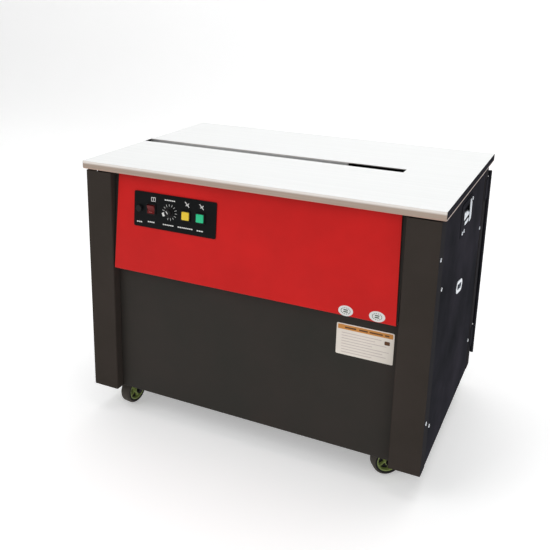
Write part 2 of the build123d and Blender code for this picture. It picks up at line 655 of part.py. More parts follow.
with BuildPart() as head_cheeks:
    for x in ((HEAD_X[0], HEAD_X[0] + CHEEK_T), (HEAD_X[1] - CHEEK_T, HEAD_X[1])):
        block(x, (-60.0, 70.0), (DECK_TOP, 662.8))
        ledge = (x[1], x[1] + 4) if x[0] == HEAD_X[0] else (x[0] - 4, x[0])
        block(ledge, (-60.0, 70.0), (658.0, 662.8))
    rod((sum(HEAD_X) / 2, DRIVE_Y, CAM_Z), CAM_R + RUNNING, 200.0, "x", Mode.SUBTRACT)
    block((300.0, 344.0), FEED_PLATE_Y, (DECK_TOP, 642.0))
    rod((FEED[0], 15.0, FEED[1]), 6.0 + RUNNING, 20.0, "y", Mode.SUBTRACT)
save(head_cheeks.part, "head_cheeks")

with BuildPart() as press_guide:
    block((HEAD_X[0] + CHEEK_T, HEAD_X[1] - CHEEK_T), (SLOT_Y - 32, SLOT_Y + 32), GUIDE_Z)
    for x in PRESS_X.values():
        half = PRESS_W / 2 + CLEAR
        block((x - half, x + half), (PRESS_Y[0] - CLEAR, PRESS_Y[1] + CLEAR), (600.0, 700.0), Mode.SUBTRACT)
save(press_guide.part, "press_guide")

for name, x in PRESS_X.items():
    with BuildPart() as press:
        block((x - PRESS_W / 2, x + PRESS_W / 2), PRESS_Y, PRESS_Z)
        if name == "cutter_press":
            block((x - 1.5, x + 1.5), PRESS_Y, (PRESS_Z[1], PRESS_Z[1] + 0.6))
        else:
            for k in range(6):
                groove = x - 12.5 + 5.0 * k
                block((groove - 1, groove + 1), PRESS_Y, (PRESS_Z[1] - 1, PRESS_Z[1]), Mode.SUBTRACT)
    save(press.part, name)

with BuildPart() as slide_plate:
    block((HEAD_X[0] + CHEEK_T + 0.5, HEAD_X[1] - CHEEK_T - 0.5), (-30.0, 62.0), SLIDE_Z)
save(slide_plate.part, "slide_plate")

with BuildPart() as heater_blade:
    block((190.0, 240.0), (8.0, 58.0), (658.0, 659.2))
    block((196.0, 234.0), (50.0, 58.0), (653.0, 658.0))
save(heater_blade.part, "heater_blade")

with BuildPart() as camshaft:
    rod(((GEARBOX_X[1] + 300.0) / 2 + 0.3, DRIVE_Y, CAM_Z), CAM_R, 300.0 - GEARBOX_X[1], "x")
    for k, x in enumerate(PRESS_X.values()):
        angle = math.radians(90 + 120 * k)
        rod((x, DRIVE_Y + 3.5 * math.cos(angle), CAM_Z + 3.5 * math.sin(angle)), 14.0, 14.0, "x")
save(camshaft.part, "camshaft")

with BuildPart() as feed_roller:
    rod((FEED[0], SLOT_Y, FEED[1]), 14.0, 20.0, "y")
    rod((FEED[0], 12.0, FEED[1]), 6.0, 50.0, "y")
    rod((FEED[0], 32.0, FEED[1]), 11.0, 8.0, "y")
save(feed_roller.part, "feed_roller")

# ---------------------------------------------------------------- drive
MOTOR_X = (70.0, 240.0)
MOTOR_R = 55.0
BRACKET_X = (60.0, 66.0)

with BuildPart() as gearbox_housing:
    block(GEARBOX_X, (DRIVE_Y - 50, DRIVE_Y + 50), (DECK_TOP, 650.0))
    fillet(gearbox_housing.edges().filter_by(Axis.X), 10.0)
    block((GEARBOX_X[0] + 6, GEARBOX_X[1] - 6), (DRIVE_Y - 56, DRIVE_Y + 56), (DECK_TOP, DECK_TOP + 8))
save(gearbox_housing.part, "gearbox_housing")

with BuildPart() as motor_housing:
    rod((sum(MOTOR_X) / 2, DRIVE_Y, MOTOR_Z), MOTOR_R - 5, MOTOR_X[1] - MOTOR_X[0], "x")
    with Locations(Location((sum(MOTOR_X) / 2, DRIVE_Y, MOTOR_Z), (0, 90, 0))):
        with PolarLocations(MOTOR_R - 4, 24):
            Box(10.0, 3.0, 110.0)
    rod((MOTOR_X[1] - 12, DRIVE_Y, MOTOR_Z), MOTOR_R, 24.0, "x")
    rod((MOTOR_X[0] + 6, DRIVE_Y, MOTOR_Z), MOTOR_R, 12.0, "x")
    block((120.0, 190.0), (DRIVE_Y - 30, DRIVE_Y + 30), (MOTOR_Z + 48, MOTOR_Z + 84))
save(motor_housing.part, "motor_housing")

with BuildPart() as motor_bracket:
    block(BRACKET_X, (-95.0, 95.0), (350.0, DECK_Z - TUBE))
    block((BRACKET_X[0], BRACKET_X[1] + 40), (-95.0, -65.0), (DECK_Z - TUBE - 5, DECK_Z - TUBE))
    block((BRACKET_X[0], BRACKET_X[1] + 40), (65.0, 95.0), (DECK_Z - TUBE - 5, DECK_Z - TUBE))
    rod((63.0, DRIVE_Y, MOTOR_Z), 20.0, 40.0, "x", Mode.SUBTRACT)
save(motor_bracket.part, "motor_bracket")


def pulley(z, radius, shaft_r, shaft_x):
    """A V pulley with its shaft stub, on the drive's centre line."""
    centre, width = span(*PULLEY_X)
    flange = 2.5
    rod((centre, DRIVE_Y, z), radius - BELT_T, width, "x")
    for x in (PULLEY_X[0] + flange / 2, PULLEY_X[1] - flange / 2):
        rod((x, DRIVE_Y, z), radius, flange, "x")
    middle, length = span(*shaft_x)
    rod((middle, DRIVE_Y, z), shaft_r, length, "x")


with BuildPart() as gearbox_pulley:
    pulley(CAM_Z, GEARBOX_PULLEY_R, 9.0, (30.0, GEARBOX_X[0] - 0.3))
save(gearbox_pulley.part, "gearbox_pulley")

with BuildPart() as motor_pulley:
    pulley(MOTOR_Z, MOTOR_PULLEY_R, 7.0, (30.0, MOTOR_X[0] - 0.3))
save(motor_pulley.part, "motor_pulley")

with BuildPart() as drive_belt:
    belt_low, belt_high = PULLEY_X[0] + 3.0, PULLEY_X[1] - 3.0
    for grow, mode in ((BELT_T, Mode.ADD), (0.0, Mode.SUBTRACT)):
        with BuildSketch(Plane.YZ.offset(belt_low)):
            with Locations((DRIVE_Y, CAM_Z)):
                Circle(GEARBOX_PULLEY_R - BELT_T + CLEAR + grow)
            with Locations((DRIVE_Y, MOTOR_Z)):
                Circle(MOTOR_PULLEY_R - BELT_T + CLEAR + grow)
            make_hull()
        extrude(amount=belt_high - belt_low, mode=mode)
save(drive_belt.part, "drive_belt")

with BuildPart() as control_box:
    block((-340.0, -140.0), (-120.0, 60.0), (DECK_Z, 640.0))
    fillet(control_box.edges().filter_by(Axis.Z), 5.0)
    block((-336.0, -144.0), (-116.0, 56.0), (DECK_Z + 2, 638.0), Mode.SUBTRACT)
save(control_box.part, "control_box")
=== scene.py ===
# %% [markdown]
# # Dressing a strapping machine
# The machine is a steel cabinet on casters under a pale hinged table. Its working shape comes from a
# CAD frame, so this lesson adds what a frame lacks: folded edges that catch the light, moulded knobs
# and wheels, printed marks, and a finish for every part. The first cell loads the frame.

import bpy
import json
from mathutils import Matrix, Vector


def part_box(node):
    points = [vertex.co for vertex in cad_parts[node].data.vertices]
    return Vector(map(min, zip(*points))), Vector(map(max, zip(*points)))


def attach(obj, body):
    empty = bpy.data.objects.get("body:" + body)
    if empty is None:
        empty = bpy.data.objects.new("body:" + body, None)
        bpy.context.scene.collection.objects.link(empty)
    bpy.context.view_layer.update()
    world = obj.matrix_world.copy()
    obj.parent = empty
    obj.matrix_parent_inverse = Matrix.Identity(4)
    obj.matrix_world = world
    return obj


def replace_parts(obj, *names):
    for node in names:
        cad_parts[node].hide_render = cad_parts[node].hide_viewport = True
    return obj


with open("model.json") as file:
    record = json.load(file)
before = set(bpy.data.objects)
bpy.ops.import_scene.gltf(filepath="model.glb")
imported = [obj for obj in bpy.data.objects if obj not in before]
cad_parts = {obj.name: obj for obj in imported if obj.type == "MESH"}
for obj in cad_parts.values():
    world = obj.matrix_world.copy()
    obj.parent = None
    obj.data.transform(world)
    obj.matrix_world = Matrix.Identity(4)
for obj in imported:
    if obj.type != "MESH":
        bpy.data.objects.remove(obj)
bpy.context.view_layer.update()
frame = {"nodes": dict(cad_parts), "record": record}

import json
import math

import bmesh
import bpy
import numpy as np
from mathutils import Matrix, Vector

MM = 0.001
nodes = frame["nodes"]

# %% [markdown]
# A grid of points is the simplest way to say a smooth surface: one parameter runs along the rows and
# the other along the columns, and each quad joins four neighbours. All new pieces here are such grids,
# worked out as whole arrays, so one helper turns any grid into a mesh. Where a direction closes on
# itself, the last column joins the first, and an end is shut with one flat face.


# %% Grids into meshes
def grid_quads(rows, columns, wrap):
    """Four corners of each cell: row r and r + 1, column c and c + 1, the last column wrapping round."""
    last = columns if wrap else columns - 1
    r, c = np.meshgrid(np.arange(rows - 1), np.arange(last), indexing="ij")
    right = (c + 1) % columns
    corners = [r * columns + c, r * columns + right, (r + 1) * columns + right, (r + 1) * columns + c]
    return np.stack(corners, -1).reshape(-1, 4)


def new_piece(name, body, meshes, smooth_angle=35):
    """Join (points, faces) pairs into one object that rides on a body, with outward normals."""
    points, faces = [], []
    for part_points, part_faces in meshes:
        base = sum(len(p) for p in points)
        points.append(np.asarray(part_points, float).reshape(-1, 3))
        faces += [[int(base + i) for i in face] for face in part_faces]
    mesh = bpy.data.meshes.new(name)
    mesh.from_pydata(np.concatenate(points).tolist(), [], faces)
    tidy = bmesh.new()
    tidy.from_mesh(mesh)
    bmesh.ops.remove_doubles(tidy, verts=tidy.verts, dist=1e-6)
    bmesh.ops.recalc_face_normals(tidy, faces=tidy.faces)
    tidy.to_mesh(mesh)
    tidy.free()
    mesh.shade_smooth()
    mesh.set_sharp_from_angle(angle=math.radians(smooth_angle))
    piece = bpy.data.objects.new(name, mesh)
    bpy.context.scene.collection.objects.link(piece)
    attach(piece, body)
    return piece


def tube_of(loops):
    """Closed shell of stacked loops: quads between neighbours and one flat face at each end."""
    loops = np.asarray(loops, float)
    rows, columns = loops.shape[:2]
    faces = grid_quads(rows, columns, True).tolist()
    faces += [list(range(columns)), list(range((rows - 1) * columns, rows * columns))]
    return loops, faces


def ring_of(loops):
    """Closed ring: the last loop joins the first, as on a bezel or a tyre."""
    loops = np.asarray(loops, float)
    closed = np.concatenate([loops, loops[:1]])
    return closed, grid_quads(len(closed), closed.shape[1], True).tolist()


# %% [markdown]
# Most small parts of the machine are rounded rectangles with a soft upper edge: buttons, plates, labels
# and bezels. One outline function gives the rounded rectangle, and a slab stacks it with its edge rolled
# over a quarter circle. A placing function then carries the flat slab onto the face where it belongs.


# %% Outlines, slabs and turned shapes
def rounded_outline(width, height, radius, steps=6):
    """Points round a rectangle whose corners are arcs: corner centre plus radius times (cos, sin)."""
    turn = np.linspace(0, math.pi / 2, steps)
    corners = []
    for k, (sx, sy) in enumerate(((1, 1), (-1, 1), (-1, -1), (1, -1))):
        angle = turn + k * math.pi / 2
        centre = np.array([sx * (width / 2 - radius), sy * (height / 2 - radius)])
        corners.append(centre + radius * np.stack([np.cos(angle), np.sin(angle)], -1))
    return np.concatenate(corners)


def slab_loops(width, height, corner, low, high, edge, steps=4):
    """Outline at the low face, then rolled in by edge * (1 - cos) while it rises by edge * sin."""
    roll = np.linspace(0, math.pi / 2, steps)
    insets = np.concatenate([[0.0], edge * (1 - np.cos(roll))])
    levels = np.concatenate([[low], high - edge + edge * np.sin(roll)])
    loops = []
    for inset, level in zip(insets, levels):
        outline = rounded_outline(width - 2 * inset, height - 2 * inset, max(corner - inset, edge * 0.2))
        loops.append(np.column_stack([outline, np.full(len(outline), level)]))
    return np.array(loops)


def turned(profile, segments=48, flutes=0, depth=0.0):
    """Profile of (radius, height) pairs swept about Z; flutes scale the radius by 1 - depth * cos^2."""
    angle = np.linspace(0, 2 * math.pi, segments, endpoint=False)
    profile = np.asarray(profile, float)
    scale = 1 - depth * np.cos(flutes * angle / 2) ** 2 if flutes else np.ones(segments)
    radius = profile[:, :1] * scale[None, :]
    return np.stack([radius * np.cos(angle), radius * np.sin(angle),
                     np.broadcast_to(profile[:, 1:], radius.shape)], -1)


def placed(points, origin, x_axis, y_axis):
    """Carry flat coordinates onto a face: origin + x * x_axis + y * y_axis + z * (x_axis cross y_axis)."""
    x_axis, y_axis = np.array(x_axis, float), np.array(y_axis, float)
    frame_axes = np.stack([x_axis, y_axis, np.cross(x_axis, y_axis)])
    return np.asarray(points, float) @ frame_axes + np.array(origin, float)


def middle(node):
    """Centre of a CAD node's box."""
    low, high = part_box(node)
    return np.array((low + high) / 2)


# %% [markdown]
# A finish starts from a few effects that several of them share: the fine grain of powder coat and
# moulded plastic, the drawn lines of brushed steel, and broad faint smudges. Each is a node group with
# named sockets, fed with object coordinates, so a pattern stays put when its part moves. The shader
# itself stays in the material.


# %% Node groups
def new_group(name, inputs, outputs):
    """Empty shader node group with named sockets; returns the tree and its two end nodes."""
    tree = bpy.data.node_groups.new(name, "ShaderNodeTree")
    for label, kind, value in inputs:
        socket = tree.interface.new_socket(label, in_out="INPUT", socket_type=kind)
        if value is not None:
            socket.default_value = value
    for label, kind in outputs:
        tree.interface.new_socket(label, in_out="OUTPUT", socket_type=kind)
    return tree, tree.nodes.new("NodeGroupInput"), tree.nodes.new("NodeGroupOutput")


def noise(tree, vector, scale, detail=2.0, roughness=0.5):
    """Noise texture on a vector; returns its value socket."""
    node = tree.nodes.new("ShaderNodeTexNoise")
    node.inputs["Detail"].default_value = detail
    node.inputs["Roughness"].default_value = roughness
    if hasattr(scale, "is_output"):
        tree.links.new(scale, node.inputs["Scale"])
    else:
        node.inputs["Scale"].default_value = scale
    tree.links.new(vector, node.inputs["Vector"])
    return node.outputs[0]


def calculate(tree, operation, a, b=0.0):
    """Math node on sockets or numbers."""
    node = tree.nodes.new("ShaderNodeMath")
    node.operation = operation
    for socket, value in zip(node.inputs, (a, b)):
        if hasattr(value, "is_output"):
            tree.links.new(value, socket)
        else:
            socket.default_value = value
    return node.outputs[0]


def stretch(tree, value, low, high, to_low=0.0, to_high=1.0):
    """Map a value's range to another one, clamped."""
    node = tree.nodes.new("ShaderNodeMapRange")
    for label, number in (("From Min", low), ("From Max", high), ("To Min", to_low), ("To Max", to_high)):
        node.inputs[label].default_value = number
    tree.links.new(value, node.inputs["Value"])
    return node.outputs["Result"]


def mixed(tree, factor, a, b):
    """Colour mix of two colours or sockets."""
    node = tree.nodes.new("ShaderNodeMix")
    node.data_type = "RGBA"
    tree.links.new(factor, node.inputs["Factor"])
    for label, value in (("A", a), ("B", b)):
        socket = [s for s in node.inputs if s.name == label and s.type == "RGBA"][0]
        if hasattr(value, "is_output"):
            tree.links.new(value, socket)
        else:
            socket.default_value = (*value, 1.0)
    return [s for s in node.outputs if s.type == "RGBA"][0]


grain_group, group_in, group_out = new_group(
    "Fine grain", [("Vector", "NodeSocketVector", None), ("Scale", "NodeSocketFloat", 900.0)],
    [("Height", "NodeSocketFloat"), ("Cloud", "NodeSocketFloat")])
peel = noise(grain_group, group_in.outputs["Vector"], group_in.outputs["Scale"], 3.0)
cloud = noise(grain_group, group_in.outputs["Vector"], 5.0, 4.0, 0.6)
grain_group.links.new(peel, group_out.inputs["Height"])
grain_group.links.new(stretch(grain_group, cloud, 0.3, 0.7), group_out.inputs["Cloud"])

brush_group, group_in, group_out = new_group(
    "Drawn lines",
    [("Vector", "NodeSocketVector", None), ("Length", "NodeSocketVector", (4.0, 500.0, 500.0))],
    [("Height", "NodeSocketFloat"), ("Streak", "NodeSocketFloat")])
squeeze = brush_group.nodes.new("ShaderNodeVectorMath")
squeeze.operation = "MULTIPLY"
brush_group.links.new(group_in.outputs["Vector"], squeeze.inputs[0])
brush_group.links.new(group_in.outputs["Length"], squeeze.inputs[1])
fine = noise(brush_group, squeeze.outputs[0], 1.0, 3.0, 0.7)
broad = noise(brush_group, squeeze.outputs[0], 0.12, 2.0, 0.6)
brush_group.links.new(fine, group_out.inputs["Height"])
brush_group.links.new(stretch(brush_group, calculate(brush_group, "ADD", fine, broad), 0.7, 1.3),
                      group_out.inputs["Streak"])

smudge_group, group_in, group_out = new_group(
    "Smudges", [("Vector", "NodeSocketVector", None), ("Scale", "NodeSocketFloat", 9.0)],
    [("Mask", "NodeSocketFloat")])
blot = noise(smudge_group, group_in.outputs["Vector"], group_in.outputs["Scale"], 6.0, 0.65)
smudge_group.links.new(stretch(smudge_group, blot, 0.48, 0.72), group_out.inputs["Mask"])
print("groups:", [g.name for g in bpy.data.node_groups])

# %% [markdown]
# A finish is then a short function: it takes its colours, its gloss and how strong its grain is, places
# the groups, and plugs them into one Principled shader. Painted sheet, moulded plastic and rubber
# differ only in these numbers. Bare metal has its own function, with drawn lines in place of grain.


# %% Finishes
GRAIN_DEPTH = 0.0002
SMUDGE_GLOSS = 0.12


def blank_material(name):
    """Material with a Principled shader; returns it with its tree, shader and object coordinates."""
    material = bpy.data.materials.new(name)
    material.use_nodes = True
    tree = material.node_tree
    shader = tree.nodes["Principled BSDF"]
    coords = tree.nodes.new("ShaderNodeTexCoord").outputs["Object"]
    return material, tree, shader, coords


def use_group(tree, group, coords, **values):
    """Place a group fed with coordinates, with its other sockets set by name."""
    node = tree.nodes.new("ShaderNodeGroup")
    node.node_tree = group
    tree.links.new(coords, node.inputs["Vector"])
    for label, value in values.items():
        node.inputs[label].default_value = value
    return node.outputs


def bump(tree, shader, height, strength, distance):
    """Bump node into the shader's normal."""
    node = tree.nodes.new("ShaderNodeBump")
    node.inputs["Strength"].default_value = strength
    node.inputs["Distance"].default_value = distance
    tree.links.new(height, node.inputs["Height"])
    tree.links.new(node.outputs["Normal"], shader.inputs["Normal"])


def coated(name, colour, second, roughness, grain=900.0, strength=0.25, metallic=0.0, gloss=0.2):
    """Grained coat: two close tones in clouds, and gloss that smudges raise a little."""
    material, tree, shader, coords = blank_material(name)
    fine_grain = use_group(tree, grain_group, coords, Scale=grain)
    marks = use_group(tree, smudge_group, coords)
    tree.links.new(mixed(tree, fine_grain["Cloud"], colour, second), shader.inputs["Base Color"])
    rough = stretch(tree, marks["Mask"], 0, 1, roughness, roughness + SMUDGE_GLOSS)
    tree.links.new(rough, shader.inputs["Roughness"])
    shader.inputs["Metallic"].default_value = metallic
    shader.inputs["Specular IOR Level"].default_value = 0.5 if metallic else gloss
    bump(tree, shader, fine_grain["Height"], strength, GRAIN_DEPTH)
    return material


def drawn_metal(name, colour, second, roughness, length=(4.0, 500.0, 500.0)):
    """Bare metal with drawn lines: the lines change its tone, its gloss and its normal."""
    material, tree, shader, coords = blank_material(name)
    lines = use_group(tree, brush_group, coords, Length=length)
    marks = use_group(tree, smudge_group, coords, Scale=14.0)
    tree.links.new(mixed(tree, lines["Streak"], colour, second), shader.inputs["Base Color"])
    rough = calculate(tree, "ADD", stretch(tree, lines["Streak"], 0, 1, roughness, roughness + 0.1),
                      calculate(tree, "MULTIPLY", marks["Mask"], 0.08))
    tree.links.new(rough, shader.inputs["Roughness"])
    shader.inputs["Metallic"].default_value = 1.0
    bump(tree, shader, lines["Height"], 0.12, GRAIN_DEPTH)
    return material


finish = {
    "panel_paint": coated("panel_paint", (0.032, 0.031, 0.027), (0.040, 0.034, 0.030), 0.46, 1100,
                          gloss=0.06),
    "side_paint": coated("side_paint", (0.018, 0.019, 0.022), (0.038, 0.036, 0.045), 0.3, 700, 0.15,
                         gloss=0.0),
    "red_paint": coated("red_paint", (0.66, 0.012, 0.011), (0.54, 0.010, 0.009), 0.38, 800, 0.15, gloss=0.14),
    "groove_steel": drawn_metal("groove_steel", (0.42, 0.42, 0.42), (0.58, 0.58, 0.58), 0.32),
    "zinc": coated("zinc", (0.72, 0.74, 0.76), (0.62, 0.66, 0.72), 0.26, 160, 0.12, metallic=1.0),
    "black_oxide": coated("black_oxide", (0.006, 0.006, 0.007), (0.010, 0.010, 0.011), 0.45, 500),
    "frame_steel": coated("frame_steel", (0.030, 0.030, 0.031), (0.040, 0.039, 0.038), 0.5, 900),
    "motor_paint": coated("motor_paint", (0.055, 0.085, 0.12), (0.065, 0.10, 0.14), 0.4, 600, 0.3, gloss=0.5),
    "gearbox_metal": coated("gearbox_metal", (0.20, 0.21, 0.22), (0.26, 0.27, 0.28), 0.55, 380, 0.6,
                            gloss=0.5),
    "pulley_metal": drawn_metal("pulley_metal", (0.62, 0.63, 0.65), (0.50, 0.51, 0.53), 0.3, (300, 30, 30)),
    "black_plastic": coated("black_plastic", (0.006, 0.006, 0.006), (0.010, 0.010, 0.011), 0.42, 1500, 0.3),
    "plate_black": coated("plate_black", (0.0028, 0.0034, 0.0034), (0.005, 0.006, 0.007), 0.34, 1800, 0.1,
                          gloss=0.1),
    "red_plastic": coated("red_plastic", (0.17, 0.010, 0.010), (0.12, 0.007, 0.007), 0.3, 1500, 0.05),
    "yellow_plastic": coated("yellow_plastic", (0.88, 0.62, 0.05), (0.82, 0.56, 0.04), 0.28, 1500, 0.05),
    "green_plastic": coated("green_plastic", (0.03, 0.58, 0.27), (0.02, 0.50, 0.23), 0.28, 1500, 0.05),
    "rubber": coated("rubber", (0.010, 0.010, 0.010), (0.016, 0.015, 0.014), 0.7, 1200, 0.4),
    "tread": coated("tread", (0.050, 0.043, 0.036), (0.078, 0.068, 0.058), 0.72, 700, 0.5),
    "hub_green": coated("hub_green", (0.24, 0.31, 0.085), (0.32, 0.39, 0.13), 0.35, 1200, 0.2, gloss=0.4),
}
print(len(finish), "finishes")

# %% [markdown]
# The table is one sheet of stainless steel. Its top is fine and almost white under the lights, its
# folded rim shows drawn lines in a warmer grey whose warm tint is a painted reflection of the floor, and
# the fold between them is a pale line, a painted highlight. Low on the rim a pinker tone is a painted
# reflection of the red panel. A mask from the surface's normal would change as the lid opens, so the
# height on the part itself tells them apart.
# The posts get the same kind of mask: their outer flanks are painted cooler and darker than their fronts,
# as painted shade on the side turned from the lamps.


# %% Table steel and post paint
def own_position(tree, coords, axis="Z"):
    """One coordinate of the part's own position."""
    parts = tree.nodes.new("ShaderNodeSeparateXYZ")
    tree.links.new(coords, parts.inputs[0])
    return parts.outputs[axis]


def table_steel():
    """Top, fold and rim in one finish, with a painted highlight on the fold and a painted reflection low on
    the rim: up = 0 to 1 over half a millimetre just under the top.
    """
    material, tree, shader, coords = blank_material("table_steel")
    height, top_z = own_position(tree, coords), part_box("table_top")[1].z
    up = stretch(tree, height, top_z - 0.0008, top_z - 0.0003)
    fold_highlight = stretch(tree, height, top_z - 0.0085, top_z - 0.0045)
    foot_red_reflection = stretch(tree, height, top_z - 0.0240, top_z - 0.0150, 1, 0)
    lines = use_group(tree, brush_group, coords, Length=(3.0, 700.0, 700.0))
    marks = use_group(tree, smudge_group, coords, Scale=6.0)
    # The rim's streaks are its drawn lines; their warm tint is a painted reflection of the floor.
    rim = mixed(tree, lines["Streak"], (0.43, 0.345, 0.285), (0.30, 0.235, 0.195))
    # The lowest part of the rim turns pinker: a painted reflection of the red panel.
    rim = mixed(tree, calculate(tree, "MULTIPLY", foot_red_reflection, 0.7), rim, (0.56, 0.33, 0.26))
    # The upper few millimetres of the rim turn pale: a painted highlight along the fold.
    rim = mixed(tree, calculate(tree, "MULTIPLY", fold_highlight, 0.85), rim, (0.86, 0.82, 0.78))
    top = mixed(tree, lines["Streak"], (0.90, 0.91, 0.905), (0.84, 0.85, 0.845))
    tree.links.new(mixed(tree, up, rim, top), shader.inputs["Base Color"])
    tree.links.new(stretch(tree, up, 0, 1, 0.85, 0.12), shader.inputs["Metallic"])
    rough = calculate(tree, "ADD", stretch(tree, up, 0, 1, 0.30, 0.36),
                      calculate(tree, "MULTIPLY", marks["Mask"], 0.1))
    tree.links.new(rough, shader.inputs["Roughness"])
    bump(tree, shader, lines["Height"], 0.05, GRAIN_DEPTH)
    return material


def post_paint():
    """Dark coat with painted shade: cooler and darker where |x| is within a millimetre of the posts' outer
    flanks.
    """
    material, tree, shader, coords = blank_material("post_paint")
    fine_grain = use_group(tree, grain_group, coords, Scale=1100.0)
    marks = use_group(tree, smudge_group, coords)
    side = calculate(tree, "ABSOLUTE", own_position(tree, coords, "X"))
    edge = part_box("front_posts")[1].x
    flank = stretch(tree, side, edge - 0.0009, edge - 0.0005)
    front = mixed(tree, fine_grain["Cloud"], (0.040, 0.034, 0.029), (0.050, 0.041, 0.036))
    # The outer flanks take a cooler, darker tone: painted shade on the side turned from the lamps.
    tree.links.new(mixed(tree, flank, front, (0.034, 0.033, 0.036)), shader.inputs["Base Color"])
    tree.links.new(stretch(tree, marks["Mask"], 0, 1, 0.42, 0.42 + SMUDGE_GLOSS), shader.inputs["Roughness"])
    shader.inputs["Specular IOR Level"].default_value = 0.0
    bump(tree, shader, fine_grain["Height"], 0.25, GRAIN_DEPTH)
    return material


finish["dark_paint"] = post_paint()
finish["table_steel"] = table_steel()

# %% [markdown]
# Every CAD part is given the finish of its own slot in the record, so none is left bare. Parts whose
# shape is already right need nothing more.

# %% Dress the CAD parts
slot_of = {part["node"]: part["material_slot"] for part in frame["record"]["subparts"]}
for name, node in nodes.items():
    node.data.materials.clear()
    node.data.materials.append(finish[slot_of[name]])
body_of = {node: body for body, members in frame["record"]["behaviour"]["bodies"].items() for node in members}

# %% [markdown]
# Folded sheet never has a knife edge: the bend has a radius and the cut edge is broken. That thin
# rounding is what catches the light along a cabinet. A copy of the CAD sheet, with its coplanar
# triangles joined first, takes a small bevel there and stands for the sharp part.


# %% Softened sheet metal
SHARP_EDGE = math.radians(25)


def softened(node_name, width):
    """Copy of a CAD part with every edge past SHARP_EDGE rounded by the width in millimetres."""
    source = nodes[node_name]
    mesh = source.data.copy()
    work = bmesh.new()
    work.from_mesh(mesh)
    bmesh.ops.remove_doubles(work, verts=work.verts, dist=1e-6)
    bmesh.ops.dissolve_limit(work, angle_limit=math.radians(1.0), verts=work.verts, edges=work.edges)
    work.to_mesh(mesh)
    work.free()
    piece = bpy.data.objects.new(node_name + "_soft", mesh)
    bpy.context.scene.collection.objects.link(piece)
    edge = piece.modifiers.new("edge", "BEVEL")
    edge.width, edge.segments = width * MM, 2
    edge.limit_method, edge.angle_limit = "ANGLE", SHARP_EDGE
    mesh.shade_flat()
    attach(piece, body_of[node_name])
    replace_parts(piece, node_name)


SOFT_EDGES = {"table_top": 0.9, "front_posts": 0.6, "rear_posts": 0.6, "upper_front_panel": 0.6,
              "lower_front_panel": 0.6, "right_side_panel": 0.5, "left_side_panel": 0.5, "rear_door": 0.6,
              "strap_channel": 0.4, "entry_bracket": 0.5, "gearbox_housing": 1.5, "control_box": 0.8,
              "head_deck": 0.8, "fuse_holder": 0.8, "inlet_eyelet": 0.8}
for name, width in SOFT_EDGES.items():
    softened(name, width)
print(len(SOFT_EDGES), "softened sheets")

# %% [markdown]
# The control plate leans with the red panel. Everything on it is placed in the plate's own directions:
# across, up the slope and outwards. The slope is how far the panel's head stands behind its foot over
# the panel's height. From here on a point on the plate is a pair of millimetres from its centre.

# %% The leaning control face
PANEL_SETBACK, PANEL_HEIGHT = 19.0, 248.0
PANEL_LEAN = math.atan2(PANEL_SETBACK, PANEL_HEIGHT)
ACROSS = np.array([1.0, 0.0, 0.0])
UP_SLOPE = np.array([0.0, math.sin(PANEL_LEAN), math.cos(PANEL_LEAN)])
OUT = np.cross(ACROSS, UP_SLOPE)
plate_points = np.array([v.co for v in nodes["control_plate"].data.vertices])
plate_face = (plate_points @ OUT).max()
plate_mid = middle("control_plate")
PLATE_CENTRE = plate_mid + OUT * (plate_face - plate_mid @ OUT)


def on_plate(points, at=(0.0, 0.0), lift=0.0):
    """Flat millimetres about a spot on the control plate, carried into the frame."""
    origin = PLATE_CENTRE + (ACROSS * at[0] + UP_SLOPE * at[1] + OUT * lift) * MM
    return placed(np.asarray(points, float) * MM, origin, ACROSS, UP_SLOPE)


def plate_spot(node):
    """Where a control sits on the plate, in millimetres from the plate's centre."""
    offset = (middle(node) - PLATE_CENTRE) / MM
    return np.array([offset @ ACROSS, offset @ UP_SLOPE])


spots = {name: plate_spot(name) for name in
         ("fuse_holder", "power_rocker", "feed_dial", "yellow_button", "green_button")}
print({name: spot.round(1).tolist() for name, spot in spots.items()})

# %% [markdown]
# A push button is a pillow: flat sides, a crisp rolled edge and a face that swells slightly. Raising
# the middle of a fine grid by a cosine in both directions gives that crown. The collar round it is a
# ring with a sloping outer wall, which hides the gap in the plate.


# %% Buttons and collars
def crowned_cap(size, corner, low, high, crown):
    """Slab whose top is closed by shrinking loops that rise by crown * (1 - share squared)."""
    loops = slab_loops(size, size, corner, low, high, 1.2)
    top = loops[-1]
    shares = np.linspace(0.9, 0.02, 10)
    rings = [np.column_stack([top[:, :2] * s, np.full(len(top), high + crown * (1 - s * s))]) for s in shares]
    return tube_of(np.concatenate([loops, rings]))


for name in ("yellow_button", "green_button"):
    shell, faces = crowned_cap(size=20.2, corner=2.4, low=-8.0, high=4.4, crown=0.3)
    cap = new_piece(name + "_cap", body_of[name], [(on_plate(shell, spots[name]), faces)])
    cap.data.materials.append(finish[slot_of[name]])
    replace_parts(cap, name)


def collar(outer, inner, height, at):
    """Bezel: outer wall sloping in, a rolled crest, and a straight inner wall round the opening."""
    loops = []
    for (w, h), radius, level in ((outer, 2.4, 0.05), ((outer[0] - 1.2, outer[1] - 1.2), 2.0, height - 0.5),
                                  ((outer[0] - 1.8, outer[1] - 1.8), 1.8, height),
                                  ((inner[0] + 1.0, inner[1] + 1.0), 1.0, height),
                                  (inner, 0.8, height - 0.5), (inner, 0.8, 0.05)):
        outline = rounded_outline(w, h, radius)
        loops.append(np.column_stack([outline, np.full(len(outline), level)]))
    points, faces = ring_of(loops)
    return on_plate(points, at), faces


COLLAR_HEIGHT = 3.5
bezels = new_piece("control_collars", "cabinet", [
    collar((26.5, 26.5), (21.2, 21.2), COLLAR_HEIGHT, spots["yellow_button"]),
    collar((26.5, 26.5), (21.2, 21.2), COLLAR_HEIGHT, spots["green_button"]),
    collar((26.5, 28.5), (21.4, 23.6), COLLAR_HEIGHT, spots["power_rocker"])])
bezels.data.materials.append(finish["black_plastic"])
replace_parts(bezels, "control_bezels")
print("controls:", len(bezels.data.polygons), "collar faces")
